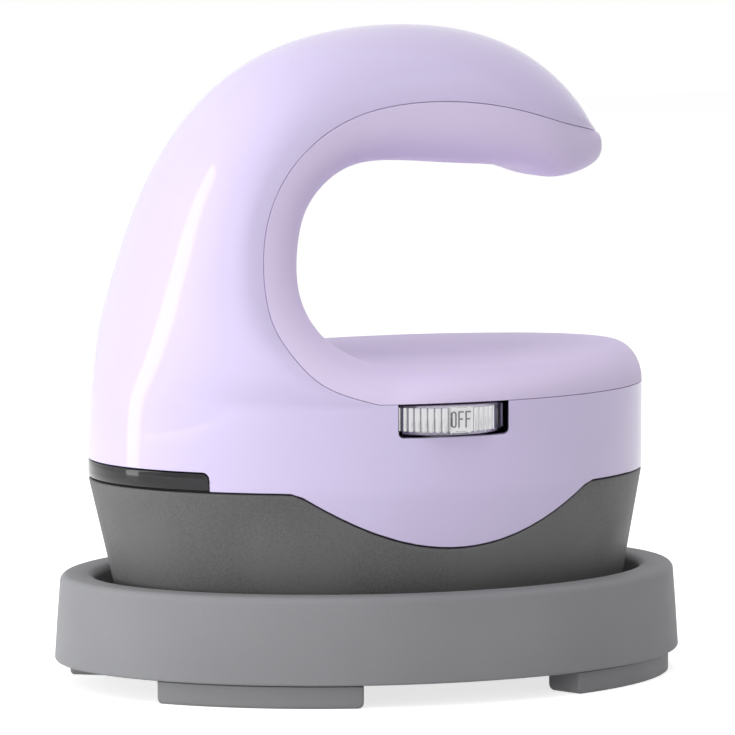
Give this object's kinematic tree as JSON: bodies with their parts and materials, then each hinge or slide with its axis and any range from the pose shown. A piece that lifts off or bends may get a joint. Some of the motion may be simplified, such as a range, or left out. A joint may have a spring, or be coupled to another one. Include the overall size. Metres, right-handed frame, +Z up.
{
  "type": "mini heat press",
  "caption": "Mini handheld heat press with a C-shaped handle, an edge dial and a dark skirt, standing in an oval safety tray on feet.",
  "frame": {"origin": "on the table, under the middle of the tray", "axes": "+X towards the handle's open end, -Y towards the side with the dial, +Z up"},
  "size_m": [0.1362, 0.1068, 0.1368],
  "materials": {
    "lavender_shell": "gloss, moulded in colour",
    "lavender_cover": "satin, moulded in colour",
    "dark_skirt": "fine matt, heat resistant",
    "smoked_window": "smoked and polished",
    "grey_tray": "satin matt, moulded",
    "silicone": "matt sheet",
    "silver_plating": "satin plated plastic",
    "coated_aluminium": "cast, with a dark non-stick coat",
    "mica": "laminated mica sheet",
    "plain_steel": "plain sheet or bar",
    "sink_aluminium": "extruded",
    "ceramic_fibre": "pressed fibre",
    "steatite": "fired ceramic, unglazed",
    "zinc_steel": "zinc plated",
    "circuit_board": "solder mask on glass laminate",
    "black_plastic": "moulded",
    "blue_plastic": "moulded",
    "green_plastic": "moulded",
    "yellow_tape": "taped winding",
    "glass_bead": "glass bead",
    "red_lamp": "tinted lamp",
    "green_lamp": "tinted lamp",
    "silicone_lead": "insulated wire"
  },
  "bodies": {
    "base": {"safety_tray": "grey_tray", "foot_far_rear": "grey_tray", "foot_far_front": "grey_tray", "foot_near_rear": "grey_tray", "foot_near_front": "grey_tray", "tray_liner": "silicone"},
    "press": {"outer_shell": "lavender_shell", "inner_cover": "lavender_cover", "base_housing": "dark_skirt", "indicator_lens": "smoked_window", "heating_plate": "coated_aluminium", "heater_sheet": "mica", "clamp_plate": "plain_steel", "heat_shield": "plain_steel", "thermal_fuse": "plain_steel", "lamp_bracket": "plain_steel", "triac_heat_sink": "sink_aluminium", "insulation_pad": "ceramic_fibre", "plate_post_front_far": "steatite", "plate_post_front_near": "steatite", "plate_post_rear_far": "steatite", "plate_post_rear_near": "steatite", "plate_screw_front_far": "zinc_steel", "plate_screw_front_near": "zinc_steel", "plate_screw_rear_far": "zinc_steel", "plate_screw_rear_near": "zinc_steel", "body_screw_front_far": "zinc_steel", "body_screw_front_near": "zinc_steel", "body_screw_rear_far": "zinc_steel", "body_screw_rear_near": "zinc_steel", "board_screw_front_far": "zinc_steel", "board_screw_front_near": "zinc_steel", "board_screw_rear_far": "zinc_steel", "board_screw_rear_near": "zinc_steel", "clamp_screw_rear": "zinc_steel", "clamp_screw_front": "zinc_steel", "control_board": "circuit_board", "lamp_board": "circuit_board", "dial_switch": "black_plastic", "motion_sensor": "black_plastic", "capacitor": "black_plastic", "cord_gland": "black_plastic", "cord_clamp": "black_plastic", "relay": "blue_plastic", "terminal_block": "green_plastic", "power_supply": "yellow_tape", "temperature_probe": "glass_bead", "lamp_heating": "red_lamp", "lamp_ready": "green_lamp", "heater_lead_far": "silicone_lead", "heater_lead_near": "silicone_lead"},
    "dial": {"dial_wheel": "silver_plating", "dial_shaft": "plain_steel"}
  },
  "joints": [
    {"name": "press_lift", "type": "slide", "parent": "base", "child": "press", "axis": [0, 0, 1], "range_m": [0, 0.07]},
    {"name": "dial_turn", "type": "hinge", "parent": "press", "child": "dial", "pos_m": [-0.0011, -0.0345, 0.0582], "axis": [0, 0, -1], "range_deg": [0, 135]}
  ]
}
